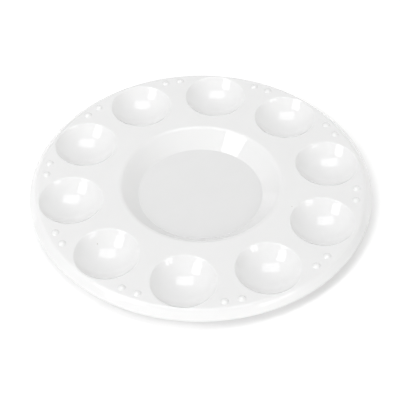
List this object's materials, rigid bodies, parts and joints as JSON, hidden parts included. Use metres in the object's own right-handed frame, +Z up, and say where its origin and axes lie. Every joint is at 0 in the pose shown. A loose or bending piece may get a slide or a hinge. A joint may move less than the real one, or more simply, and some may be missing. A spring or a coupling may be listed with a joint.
{
  "type": "mixing palette",
  "caption": "Round one-piece plastic paint palette: a ring of bowl-shaped paint wells around a flat mixing dish, with paired brush-rest pips and a flared rim.",
  "frame": {"origin": "centre of the underside of the mixing dish's floor, on the surface that the palette stands on", "axes": "+Z up along the palette's axis of symmetry; +X and +Y in the plane it stands on, with one paint well centred on -Y"},
  "size_m": [0.17, 0.17, 0.0103],
  "materials": {
    "white_plastic": "glossy white moulded polystyrene"
  },
  "bodies": {
    "root": {"palette_tray": "white_plastic"}
  },
  "joints": []
}
